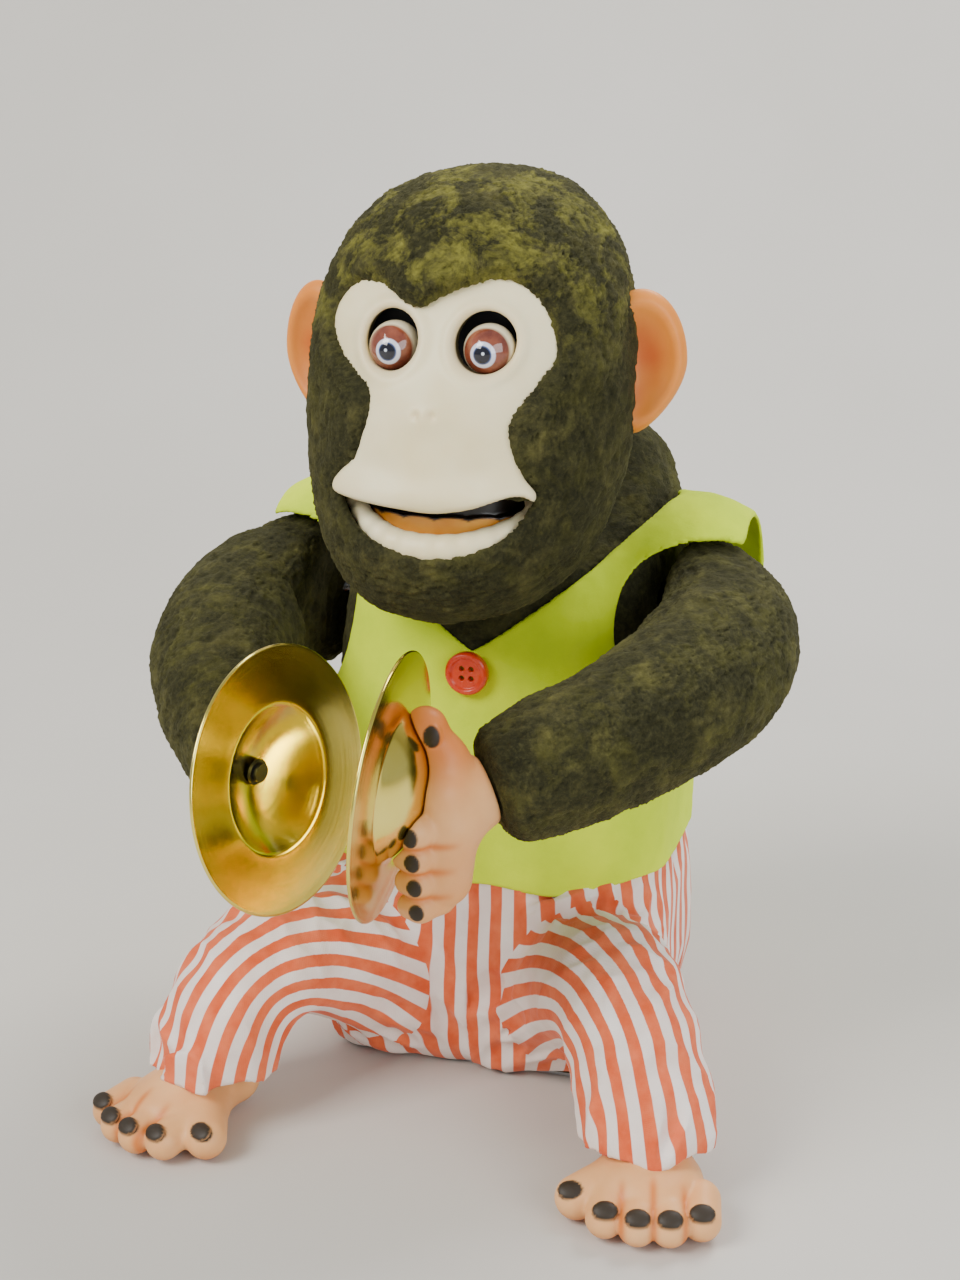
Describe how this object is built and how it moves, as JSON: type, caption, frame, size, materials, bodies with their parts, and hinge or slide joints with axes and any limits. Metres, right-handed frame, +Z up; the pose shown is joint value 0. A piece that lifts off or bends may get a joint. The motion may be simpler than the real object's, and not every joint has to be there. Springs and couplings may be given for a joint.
{
  "type": "cymbal-playing chimp doll",
  "caption": "Sitting plush chimp doll with a motor-driven clapping arm on each side, brass cymbals, popping eyes, a chattering lip and a press-down head.",
  "frame": {"origin": "middle of the base plate's footprint, on the surface the doll sits on", "axes": "+Z up; the face looks along -Y; the doll's own left hand is on +X"},
  "size_m": [0.1775, 0.1992, 0.26],
  "materials": {
    "tinplate": "satin tin plate",
    "zinc_plate": "bright zinc",
    "spring_steel": "drawn wire",
    "dark_steel": "black oxide",
    "brass_gear": "machined",
    "cymbal_brass": "polished and lacquered",
    "black_plastic": "moulded",
    "nylon": "moulded",
    "wire_pvc": "insulated wire",
    "cell_wrap": "printed sleeve, left blank",
    "plush": "short dark olive-brown pile",
    "felt": "lime felt",
    "striped_cotton": "white cotton with orange-red stripes",
    "face_vinyl": "soft ivory vinyl",
    "skin_vinyl": "soft peach-tan vinyl with sprayed shading",
    "ear_vinyl": "soft tan-orange vinyl",
    "amber_plastic": "moulded",
    "eye_plastic": "glossy with painted iris",
    "button_plastic": "moulded"
  },
  "bodies": {
    "trunk": {"base_plate": "tinplate", "battery_box": "black_plastic", "battery_left": "cell_wrap", "battery_right": "cell_wrap", "battery_contacts": "spring_steel", "door_hinge_pin": "spring_steel", "switch_body": "black_plastic", "wiring": "wire_pvc", "frame_plate_low": "zinc_plate", "frame_plate_high": "zinc_plate", "frame_posts": "zinc_plate", "gear_plate_left": "zinc_plate", "gear_plate_right": "zinc_plate", "gear_spacers": "zinc_plate", "frame_screws": "spring_steel", "motor_can": "zinc_plate", "case_front": "tinplate", "case_rear": "tinplate", "arm_bushes": "nylon", "arm_return_springs": "spring_steel", "neck_post": "zinc_plate", "neck_spring": "spring_steel", "torso_plush": "plush", "vest": "felt", "vest_button": "button_plastic", "pants": "striped_cotton", "leg_rods": "spring_steel", "foot_left": "skin_vinyl", "foot_right": "skin_vinyl"},
    "door": {"battery_door": "tinplate"},
    "switch": {"switch_knob": "black_plastic"},
    "rotor": {"motor_pinion": "brass_gear"},
    "wheel_first": {"gear_first": "nylon"},
    "wheel_second": {"gear_second": "nylon"},
    "cams": {"cam_shaft": "nylon"},
    "rod": {"push_rod": "spring_steel"},
    "arm_left": {"arm_shaft_left": "spring_steel", "arm_rod_left": "spring_steel", "sleeve_left": "plush", "hand_left": "skin_vinyl", "cymbal_left": "cymbal_brass", "cymbal_screw_left": "dark_steel"},
    "arm_right": {"arm_shaft_right": "spring_steel", "arm_rod_right": "spring_steel", "sleeve_right": "plush", "hand_right": "skin_vinyl", "cymbal_right": "cymbal_brass", "cymbal_screw_right": "dark_steel"},
    "head": {"head_frame": "black_plastic", "head_plush": "plush", "face_mask": "face_vinyl", "teeth_plate": "amber_plastic", "ear_left": "ear_vinyl", "ear_right": "ear_vinyl"},
    "rocker": {"head_rocker": "zinc_plate"},
    "eyes": {"eye_bar": "black_plastic", "eyeballs": "eye_plastic"},
    "jaw": {"lower_lip": "face_vinyl"}
  },
  "joints": [
    {"name": "battery_door_hinge", "type": "hinge", "parent": "trunk", "child": "door", "pos_m": [0, 0.0322, 0.0018], "axis": [1, 0, 0], "range_deg": [0, 95]},
    {"name": "power_switch", "type": "slide", "parent": "trunk", "child": "switch", "axis": [1, 0, 0], "range_m": [0, 0.0062]},
    {"name": "cam_spin", "type": "hinge", "parent": "trunk", "child": "cams", "pos_m": [0, 0.014, 0.08025], "axis": [1, 0, 0], "continuous": true},
    {"name": "second_spin", "type": "hinge", "parent": "trunk", "child": "wheel_second", "pos_m": [0, 0.0007, 0.0779], "axis": [1, 0, 0], "continuous": true},
    {"name": "first_spin", "type": "hinge", "parent": "trunk", "child": "wheel_first", "pos_m": [0, -0.0019, 0.06313], "axis": [1, 0, 0], "continuous": true},
    {"name": "motor_spin", "type": "hinge", "parent": "trunk", "child": "rotor", "pos_m": [0, -0.016, 0.058], "axis": [1, 0, 0], "continuous": true},
    {"name": "left_arm_swing", "type": "hinge", "parent": "trunk", "child": "arm_left", "pos_m": [0.033, -0.004, 0], "axis": [0, 0, 1], "range_deg": [-5, 10]},
    {"name": "right_arm_swing", "type": "hinge", "parent": "trunk", "child": "arm_right", "pos_m": [-0.033, -0.004, 0], "axis": [0, 0, 1], "range_deg": [-10, 5]},
    {"name": "head_press", "type": "slide", "parent": "trunk", "child": "head", "axis": [0, 0, -1], "range_m": [0, 0.0044], "deforming": ["neck_spring"]},
    {"name": "rocker_turn", "type": "hinge", "parent": "head", "child": "rocker", "pos_m": [0, -0.034, 0.204], "axis": [1, 0, 0], "range_deg": [0, 18]},
    {"name": "eye_pop", "type": "slide", "parent": "head", "child": "eyes", "axis": [0, -1, 0], "range_m": [0, 0.0042]},
    {"name": "jaw_chatter", "type": "hinge", "parent": "head", "child": "jaw", "pos_m": [0, -0.038, 0.18], "axis": [1, 0, 0], "range_deg": [0, 4.4]},
    {"name": "rod_lift", "type": "slide", "parent": "trunk", "child": "rod", "axis": [0, 0, 1], "range_m": [0, 0.0032]}
  ],
  "couplings": [
    {"joint": "motor_spin", "follows": "first_spin", "ratio": -4},
    {"joint": "second_spin", "follows": "first_spin", "ratio": -0.25},
    {"joint": "cam_spin", "follows": "first_spin", "ratio": 0.071429},
    {"joint": "right_arm_swing", "follows": "left_arm_swing", "ratio": -1},
    {"joint": "eye_pop", "follows": "rocker_turn", "m_per_rad": 0.0127},
    {"joint": "jaw_chatter", "follows": "rocker_turn", "ratio": 0.24},
    {"joint": "rod_lift", "follows": "rocker_turn", "m_per_rad": 0.0095}
  ]
}
